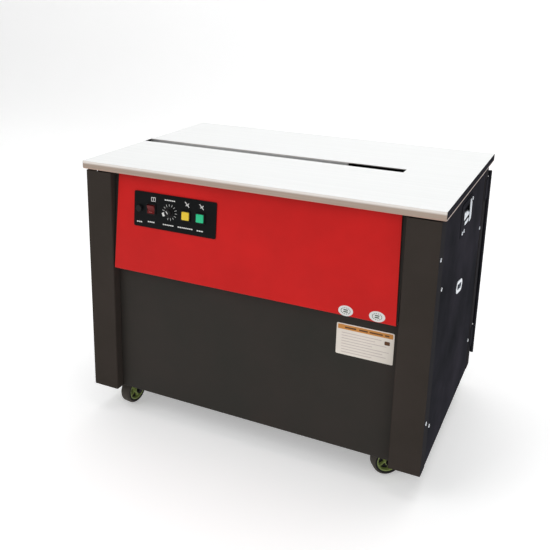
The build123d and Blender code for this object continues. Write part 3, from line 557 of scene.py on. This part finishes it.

# %% [markdown]
# The dial is turned plastic: a thin skirt, a fluted grip that narrows towards the top, and a dished
# face with a white pointer, and a white block at the skirt's edge. The flutes are one cosine round the grip.
# Ticks are printed on the plate about it, every other one a little longer.


# %% Feed dial
dial_at = spots["feed_dial"]
skirt = turned([(0.5, 0.4), (12.3, 0.4), (12.5, 0.9), (12.1, 2.6), (11.2, 3.2), (0.5, 3.2)], 64)
grip = turned([(0.5, 2.8), (10.0, 2.8), (9.7, 4.0), (9.3, 11.4), (8.6, 12.2), (7.6, 12.3), (6.6, 11.8),
               (0.5, 11.6)], segments=128, flutes=16, depth=0.09)
dial = new_piece("dial_knob", "dial",
                 [tube_of(on_plate(skirt, dial_at)), tube_of(on_plate(grip, dial_at))])
dial.data.materials.append(finish["black_plastic"])
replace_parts(dial, "feed_dial")


def plain_material(name, colour, roughness=0.4):
    """Printed ink: one tone with a faint cloud and a fine grain."""
    return coated(name, colour, tuple(c * 0.9 for c in colour), roughness, 2000, 0.1)


ink = {"white": plain_material("white_ink", (0.80, 0.80, 0.78)),
       "faint": plain_material("faint_ink", (0.60, 0.52, 0.49)),
       "brown": plain_material("brown_ink", (0.12, 0.05, 0.02)),
       "green": plain_material("green_ink", (0.05, 0.09, 0.06)),
       "orange": plain_material("orange_ink", (0.62, 0.27, 0.06)),
       "cream": plain_material("cream_paper", (0.84, 0.78, 0.70), 0.5)}


def strip(length, width, at, turn=0.0, low=0.0, high=0.12):
    """Thin raised bar, as printed ink stands: a slab turned about its centre."""
    points = slab_loops(length, width, min(length, width) * 0.2, low, high, 0.03, 2)
    c, s = math.cos(turn), math.sin(turn)
    flat = points[..., :2] @ np.array([[c, s], [-s, c]]) + np.array(at)
    return tube_of(np.concatenate([flat, points[..., 2:]], -1))


def on_plate_all(parts, lift=0.0):
    """Carry several flat parts onto the control plate."""
    return [(on_plate(points, (0, 0), lift), faces) for points, faces in parts]


def along(angle, radius):
    """Spot on the plate at an angle in degrees and a radius from the dial's centre."""
    return dial_at + radius * np.array([math.cos(math.radians(angle)), math.sin(math.radians(angle))])


# White block standing at the skirt's left edge.
WHITE_PATCH_ANGLE = 203
pointer_bars = [strip(8.0, 1.7, along(120, 1.5), math.radians(-52), 11.6, 12.5),
                strip(10.0, 9.4, along(WHITE_PATCH_ANGLE, 15.0), math.radians(WHITE_PATCH_ANGLE), 1.6, 3.4)]
pointer = new_piece("dial_pointer", "dial", on_plate_all(pointer_bars))
pointer.data.materials.append(ink["white"])

TICK_RADIUS = 17.2
ticks = []
for k in range(12):
    angle = 170 - 25 * k
    ticks.append(strip(5.4 if k % 2 else 6.4, 1.0, along(angle, TICK_RADIUS), math.radians(angle)))
print("dial ticks:", len(ticks))

# %% [markdown]
# The plate's print says what each control does. Here it is plain bars and simple signs with no words:
# a broken bar under each control and one over the dial, and small grids and crossed bars for pictures.

# %% Print on the control plate
bars = [((spots["fuse_holder"][0] - 0.5, -32.4), 16), ((spots["power_rocker"][0], -29.0), 20),
        ((spots["feed_dial"][0] - 3.0, -29.6), 31), ((spots["feed_dial"][0], 31.6), 30),
        ((spots["yellow_button"][0] - 1.0, -29.8), 42), ((spots["green_button"][0], -30.6), 18)]
for (x, y), length in bars:
    cells = max(2, int(length / 5))
    for k in range(cells):
        ticks.append(strip(length / cells * 0.8, 2.8, (x + (k - (cells - 1) / 2) * length / cells, y)))
sign_x = spots["power_rocker"][0] + 5.0
ticks += [strip(11.0, 1.4, (sign_x, 28.0 + dy)) for dy in (-4.6, 4.6)]
ticks += [strip(1.4, 10.0, (sign_x + dx, 28.0)) for dx in (-5.5, 0.0, 5.5)]
for name in ("yellow_button", "green_button"):
    x = spots[name][0] + 2.6
    ticks += [strip(17.0, 1.9, (x, 28.0), math.radians(-48)),
              strip(6.5, 3.6, (x + 0.6, 27.6), math.radians(-40)),
              strip(10.5, 1.8, (x + 1.0, 28.2), math.radians(38))]
print_marks = new_piece("plate_print", "cabinet", on_plate_all(ticks, 0.02))
print_marks.data.materials.append(ink["white"])

# %% [markdown]
# The rocker switch is a shallow vee: the half that is out catches the light. Its profile is carried
# across the switch's width with its upper corners rolled.


# %% Rocker
def rocker_shell():
    """Profile in up and out, at five stations across: the two end stations are scaled by 0.95."""
    profile = np.array([(-10.2, -3.8), (10.2, -3.8), (10.3, 7.9), (9.6, 8.5), (5.0, 7.2), (0.0, 5.9),
                        (-5.0, 7.2), (-9.6, 8.5), (-10.3, 7.9)])
    tilt = math.radians(9)
    turn = np.array([[math.cos(tilt), math.sin(tilt)], [-math.sin(tilt), math.cos(tilt)]])
    loops = []
    for x, shrink in ((-10.1, 0.95), (-9.6, 1.0), (0.0, 1.0), (9.6, 1.0), (10.1, 0.95)):
        yz = (profile * shrink) @ turn
        loops.append(np.column_stack([np.full(len(yz), x), yz[:, 0], yz[:, 1] - 3.5]))
    return np.array(loops)


rocker_spot = spots["power_rocker"]
rocker = new_piece("rocker_cap", "rocker", [tube_of(on_plate(rocker_shell(), rocker_spot))])
rocker.data.materials.append(finish["red_plastic"])
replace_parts(rocker, "power_rocker")

rocker_marks = new_piece("rocker_marks", "rocker", on_plate_all(
    [strip(9.0, 1.0, rocker_spot + (0.5, dy), 0, 3.4, 4.6) for dy in (-7.0, 7.4)]))
rocker_marks.data.materials.append(plain_material("pale_red_ink", (0.50, 0.13, 0.12)))

# %% [markdown]
# A paper label and two oval stickers are thin slabs laid on the panels. The label has an orange band
# with dark bars, rows of faint bars and a plain block, with no words. Each sticker has a dotted ring
# round two bars. Dark strips behind the red panel's ends close the gaps beside the posts.


# %% Label and stickers
def on_lower_panel(parts, at):
    """Carry flat parts onto the upright lower panel about a point (x, z) in millimetres."""
    face_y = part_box("lower_front_panel")[0].y
    origin = np.array([at[0] * MM, face_y, at[1] * MM])
    return [(placed(np.asarray(p) * MM, origin, (1, 0, 0), (0, 0, 1)), f) for p, f in parts]


LABEL_AT, LABEL_SIZE = (290.0, 352.0), (133.0, 76.0)
label = new_piece("label_paper", "cabinet",
                  on_lower_panel([tube_of(slab_loops(*LABEL_SIZE, 3.0, 0.02, 0.35, 0.1, 2))], LABEL_AT))
label.data.materials.append(ink["cream"])
band = new_piece("label_band", "cabinet", on_lower_panel(
    [strip(127.0, 11.5, (0, 29.8), 0, 0.33, 0.45)], LABEL_AT))
band.data.materials.append(ink["orange"])

dark_marks = [strip(w, 3.6, (x, 29.4), 0, 0.44, 0.5) for x, w in ((-34, 26), (-4, 20), (25, 30), (50, 10))]
dark_marks += [strip(12.0, 9.0, (51.0, 11.5), 0, 0.33, 0.48)]
marks = new_piece("label_marks", "cabinet", on_lower_panel(dark_marks, LABEL_AT))
marks.data.materials.append(ink["brown"])
rows = []
for k, y in enumerate(np.linspace(16.0, -31.0, 8)):
    length = (92.0, 78.0, 86.0)[k % 3] if y > 5 else (110.0, 96.0, 104.0, 72.0)[k % 4]
    rows.append(strip(length, 1.6, (-54.0 + length / 2, y), 0, 0.33, 0.42))
text_rows = new_piece("label_rows", "cabinet", on_lower_panel(rows, LABEL_AT))
text_rows.data.materials.append(ink["faint"])


def oval(width, height, low, high, edge=0.1, steps=48):
    """Flat elliptical disc with a rolled edge: x = a cos t, y = b sin t."""
    t = np.linspace(0, 2 * math.pi, steps, endpoint=False)
    loops = [np.column_stack([(width / 2 - i) * np.cos(t), (height / 2 - i) * np.sin(t), np.full(steps, z)])
             for i, z in ((0, low), (0, high - edge), (edge, high))]
    return tube_of(loops)


PANEL_FOOT = np.array([0.0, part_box("upper_front_panel")[0].y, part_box("upper_front_panel")[0].z])


def on_red_panel(points, at):
    """Flat millimetres carried onto the red panel, at (x, height up the slope)."""
    origin = PANEL_FOOT + (ACROSS * at[0] + UP_SLOPE * at[1]) * MM
    return placed(np.asarray(points, float) * MM, origin, ACROSS, UP_SLOPE)


CLOSER_WIDTH, CLOSER_INSET, CLOSER_MIDDLE = 20.0, 7.0, 124.0
foot_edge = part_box("upper_front_panel")[1].x / MM
closers = [slab_loops(CLOSER_WIDTH, 240.0, 1.0, -5.0, -4.0, 0.2, 2)
           + (side * (foot_edge - CLOSER_INSET), CLOSER_MIDDLE, 0) for side in (-1, 1)]
gap_closers = new_piece("gap_closers", "cabinet",
                        [(on_red_panel(p, (0, 0)), f) for p, f in map(tube_of, closers)])
gap_closers.data.materials.append(finish["panel_paint"])

STICKERS = ((250.0, 12.6, 34.0), (321.0, 14.0, 36.0))
for k, (x, y, width) in enumerate(STICKERS):
    disc, faces = oval(width, 24.0, 0.02, 0.4)
    sticker = new_piece(f"sticker_{k + 1}", "cabinet", [(on_red_panel(disc, (x, y)), faces)])
    sticker.data.materials.append(ink["white"])
    bars = [strip(2.6, 1.3, (x + 10.5 * math.cos(t), y + 7.0 * math.sin(t)), t + math.pi / 2, 0.38, 0.48)
            for t in np.linspace(0, 2 * math.pi, 14, endpoint=False)]
    bars += [strip(10.0, 2.6, (x, y + dy), 0, 0.38, 0.48) for dy in (-2.2, 2.2)]
    emblem = new_piece(f"sticker_mark_{k + 1}", "cabinet",
                       [(on_red_panel(p, (0, 0)), f) for p, f in bars])
    emblem.data.materials.append(ink["green"])
print("label and stickers done")

# %% [markdown]
# A caster wheel is two mouldings: a grey-brown rubber tread with round shoulders, and a green nylon
# hub. The tread is a closed profile turned about the axle. The hub has a rim, a boss and, on each
# side, a dished face with five broad spokes, raised by a smooth star function of the angle.


# %% Caster wheels
joints = {joint["child"]: joint for joint in frame["record"]["behaviour"]["joints"]}


def about_axle(points, corner):
    """Turn a shape made about Z onto a wheel's axle: its joint gives the axle's place and direction."""
    joint = joints[f"wheel_{corner}"]
    axle, up = np.array(joint["axis"], float), np.array([0.0, 0.0, 1.0])
    axes = np.stack([np.cross(up, axle), up, axle])
    return np.asarray(points, float) @ axes * MM + np.array(joint["pos_m"])


def tread_profile(radius=37.4, inner=28.2, half=14.8, shoulder=7.0):
    """Flat bore, side walls, and shoulders that are quarter circles; a shallow groove each side."""
    t = np.linspace(0, math.pi / 2, 8)
    right = [(radius - shoulder + shoulder * math.cos(a), half - shoulder + shoulder * math.sin(a))
             for a in t]
    wall = [(radius - shoulder - 0.6, half - 0.9), (inner + 0.8, half - 0.6), (inner, half - 1.2)]
    side = right + wall
    return side + [(r, -h) for r, h in reversed(side)]


def star(angle, spokes=5, sharp=3.0):
    """1 on a spoke and 0 between: half a cosine raised to a power."""
    return (0.5 + 0.5 * np.cos(spokes * angle)) ** sharp


BOSS_RADIUS, DISH_RADIUS = 9.6, 24.4


def hub_face(side, rings=22, segments=120):
    """Dished face: base depth plus spoke height times the star, faded in at the boss and the rim."""
    angle = np.linspace(0, 2 * math.pi, segments, endpoint=False)
    radius = np.linspace(BOSS_RADIUS, DISH_RADIUS, rings)
    r, a = np.meshgrid(radius, angle, indexing="ij")
    fade = np.clip((r - BOSS_RADIUS) / 2.0, 0, 1) * np.clip((DISH_RADIUS - r) / 1.5, 0, 1)
    spoke = star(a) * 9.0
    rise = np.where(fade > 0, 1.6 + fade * spoke + (1 - fade) * 8.0, 12.0)
    return np.stack([r * np.cos(a), r * np.sin(a), side * rise], -1)


def wall_ring(side):
    """Black side wall: a shallow ring pressed onto the tread's flank."""
    return turned([(28.0, side * 13.6), (28.4, side * 14.8), (31.2, side * 15.1), (33.6, side * 13.9),
                   (33.4, side * 12.4)], 72)


def wheel_piece(name, corner, slot, loops, closed):
    """Piece of one corner's wheel: closed profiles shut on themselves, open ones stay sheets."""
    shells = []
    for part in loops:
        points = about_axle(part, corner)
        shells.append(ring_of(points) if closed else
                      (points, grid_quads(points.shape[0], points.shape[1], True).tolist()))
    piece = new_piece(f"{name}_{corner}", f"wheel_{corner}", shells)
    piece.data.materials.append(finish[slot])
    return piece


tread = turned(tread_profile(), 72)
# A black disc between the spokes on each side: painted shade in the deep gaps of the green hub.
spoke_gap_shade = turned([(9.0, 5.0), (24.6, 5.0), (24.6, -5.0), (9.0, -5.0)], 72)
rim = turned([(DISH_RADIUS, 12.0), (25.0, 13.6), (27.4, 13.8), (27.9, 13.0), (27.9, -13.0), (27.4, -13.8),
              (25.0, -13.6), (DISH_RADIUS, -12.0)], 120)
boss = turned([(BOSS_RADIUS, 9.6), (BOSS_RADIUS, 17.0), (9.0, 17.8), (5.2, 17.8), (5.1, 17.0), (5.1, -17.0),
               (5.2, -17.8), (9.0, -17.8), (BOSS_RADIUS, -17.0), (BOSS_RADIUS, -9.6)], 120)
for corner in ("front_left", "front_right", "rear_left", "rear_right"):
    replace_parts(wheel_piece("tread", corner, "tread", [tread], True), f"caster_tyre_{corner}")
    wheel_piece("tread_wall", corner, "rubber", [wall_ring(1), wall_ring(-1)], True)
    wheel_piece("spoke_gap_shade", corner, "rubber", [spoke_gap_shade], True)
    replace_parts(wheel_piece("hub", corner, "hub_green", [hub_face(1), hub_face(-1), rim, boss], False),
                f"caster_hub_{corner}")
print("wheels done")

# %% [markdown]
# Screw heads are small, but a bright dome with a cross is what tells a screw from a rivet. Each head is
# turned from an arc, and the cross is two dark bars set into its crown: painted shade in place of the recess.

# %% Screw heads
def islands(mesh):
    """Separate shells of a mesh, each as an array of its points."""
    work = bmesh.new()
    work.from_mesh(mesh)
    bmesh.ops.remove_doubles(work, verts=work.verts, dist=1e-6)
    left, groups = set(work.verts), []
    while left:
        queue, found = [left.pop()], []
        while queue:
            vert = queue.pop()
            found.append(list(vert.co))
            near = {edge.other_vert(vert) for edge in vert.link_edges} & left
            left -= near
            queue += near
        groups.append(np.array(found))
    work.free()
    return groups


heads, cross_shade_bars = [], []
arc = np.linspace(0, math.pi / 2, 7)
dome = turned([(4.6 * math.cos(a), 0.2 + 1.9 * math.sin(a)) for a in arc[:-1]] + [(0.4, 2.1)], 32)
for group in islands(nodes["panel_screws"].data):
    centre, side = group.mean(0), 1 if group[:, 0].mean() > 0 else -1
    outer = np.array([np.abs(group[:, 0]).max() * side - side * 2.3 * MM, centre[1], centre[2]])
    across, up = (0, side, 0), (0, 0, 1)
    heads.append(tube_of(placed(dome * MM, outer, across, up)))
    # Two dark bars on each crown: painted shade in place of the cross recess.
    for turn in (35, 125):
        bar, faces = strip(4.6, 0.9, (0, 0), math.radians(turn), 1.8, 2.2)
        cross_shade_bars.append((placed(bar * MM, outer, across, up), faces))
screws = new_piece("screw_domes", "cabinet", heads)
screws.data.materials.append(finish["zinc"])
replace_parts(screws, "panel_screws")
cross_shade_piece = new_piece("screw_cross_shade", "cabinet", cross_shade_bars)
cross_shade_piece.data.materials.append(finish["black_oxide"])
print(len(heads), "screw heads")

# %% [markdown]
# The strap enters over a roller in a window on the right side. A bright folded lip guards the window's
# rear edge, where the strap would otherwise saw at the paint, and a short wide one crosses it low down.
# The table's two side rims carry black strips above a bare lower fold, a painted reflection of dark
# surroundings in the steel.


# %% Entry lip and painted dark reflection on the rims
def lip_strip(y, low, high, stand, width):
    """Rounded lip: half a circle swept up between two heights, standing out from the right panel."""
    t = np.linspace(0, math.pi, 10)
    face_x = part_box("entry_bracket")[1].x / MM
    line = np.column_stack([y + width / 2 * np.cos(t), face_x + stand * np.sin(t)])
    levels = np.linspace(low, high, 8)
    shrink = np.clip(np.minimum(levels - low, high - levels) / 6.0, 0.25, 1)
    return tube_of(np.array([np.column_stack([face_x + (line[:, 1] - face_x) * k, line[:, 0], np.full(10, z)])
                             for z, k in zip(levels, shrink)]) * MM)


entry_lip = new_piece("entry_lip", "cabinet",
                      [lip_strip(24.0, 578.0, 634.0, 3.2, 9.0), lip_strip(-14.0, 584.0, 592.0, 2.6, 46.0)])
entry_lip.data.materials.append(finish["zinc"])
rim_low, rim_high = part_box("table_top")
# Black strips on the side rims: a painted reflection of dark surroundings in the steel.
REFLECTION_STRIP_MIDDLE_Z = 0.6812
dark_reflection_strips = []
for side in (-1, 1):
    face_x = side * max(abs(rim_low.x), abs(rim_high.x))
    face = np.array([face_x, (rim_low.y + rim_high.y) / 2, REFLECTION_STRIP_MIDDLE_Z])
    dark_reflection_strip = slab_loops((rim_high.y - rim_low.y) / MM - 3, 16.4, 0.5, 0.0, 0.35, 0.1, 2)
    dark_reflection_strips.append(tube_of(placed(dark_reflection_strip * MM, face, (0, side, 0), (0, 0, 1))))
rim_dark_reflection = new_piece("rim_dark_reflection", "table_lid", dark_reflection_strips)
rim_dark_reflection.data.materials.append(finish["side_paint"])

# %% [markdown]
# The floor is a wide pale sheet that curves up behind the machine, so no horizon shows. Soft light comes
# from a large lamp ahead on the left, a weaker one on the right, one overhead, and an even pale sky.


# %% Studio
def backdrop():
    """Sweep: flat floor, then a quarter circle of radius 1.5 m, then a wall, carried along X."""
    t = np.linspace(0, math.pi / 2, 16)
    curve = [(2.5 + 1.5 * math.sin(a), 1.5 - 1.5 * math.cos(a)) for a in t[1:]]
    line = np.array([(-14.0, 0.0), (2.5, 0.0)] + curve + [(4.0, 6.0)])
    xs = np.linspace(-12, 12, 3)
    points = np.array([[(x, y, z - 0.0005) for y, z in line] for x in xs])
    mesh = bpy.data.meshes.new("backdrop")
    mesh.from_pydata(points.reshape(-1, 3).tolist(), [], grid_quads(*points.shape[:2], False).tolist())
    mesh.shade_smooth()
    sweep = bpy.data.objects.new("backdrop", mesh)
    bpy.context.scene.collection.objects.link(sweep)
    material, _, shader, _ = blank_material("pale_floor")
    shader.inputs["Base Color"].default_value = (0.92, 0.92, 0.92, 1)
    shader.inputs["Roughness"].default_value = 0.9
    shader.inputs["Emission Color"].default_value = (1, 1, 1, 1)
    shader.inputs["Emission Strength"].default_value = 0.34
    mesh.materials.append(material)


def soft_lamp(name, at, size, power):
    """Square area lamp at a place, aimed at the cabinet's middle."""
    lamp = bpy.data.lights.new(name, "AREA")
    lamp.size, lamp.energy = size, power
    holder = bpy.data.objects.new(name, lamp)
    bpy.context.scene.collection.objects.link(holder)
    aim = Vector((0, 0, 0.4)) - Vector(at)
    holder.matrix_world = Matrix.Translation(at) @ aim.to_track_quat("-Z", "Y").to_matrix().to_4x4()


backdrop()
soft_lamp("key", at=(-2.2, -3.0, 3.4), size=2.6, power=56)
soft_lamp("fill", at=(3.2, -2.4, 1.8), size=2.4, power=13)
soft_lamp("top", at=(0.2, 0.4, 3.6), size=3.0, power=54)
world = bpy.data.worlds.new("pale_sky")
world.use_nodes = True
world.node_tree.nodes["Background"].inputs["Color"].default_value = (1, 1, 1, 1)
world.node_tree.nodes["Background"].inputs["Strength"].default_value = 0.34
bpy.context.scene.world = world
bpy.context.scene.view_settings.view_transform = "Standard"

# %% [markdown]
# The camera stands ahead and to the right of the machine, a little above it, and looks slightly down.
# It is given by where it stands, the way it faces, and a lens shift that keeps the machine's uprights
# nearly straight.

# %% Camera
AZIMUTH, ELEVATION, ROLL = math.radians(25.62), math.radians(15.66), math.radians(1.0)
back = Vector((math.sin(AZIMUTH) * math.cos(ELEVATION), -math.cos(AZIMUTH) * math.cos(ELEVATION),
               math.sin(ELEVATION)))
level = Vector((math.cos(AZIMUTH), math.sin(AZIMUTH), 0))
rise = back.cross(level)
right = level * math.cos(ROLL) + rise * math.sin(ROLL)
rise = back.cross(right)
lens = bpy.data.cameras.new("camera")
lens.sensor_width, lens.lens = 36.0, 49.2
lens.shift_x, lens.shift_y = 0.046, -0.150
camera = bpy.data.objects.new("camera", lens)
bpy.context.scene.collection.objects.link(camera)
axes = Matrix((right, rise, back)).transposed().to_4x4()
STANDPOINT = (0.7128, -1.7641, 1.1240)
camera.matrix_world = Matrix.Translation(STANDPOINT) @ axes
bpy.context.scene.camera = camera

# %% [markdown]
# Last, the view layer is brought up to date.

# %% Final update
bpy.context.view_layer.update()
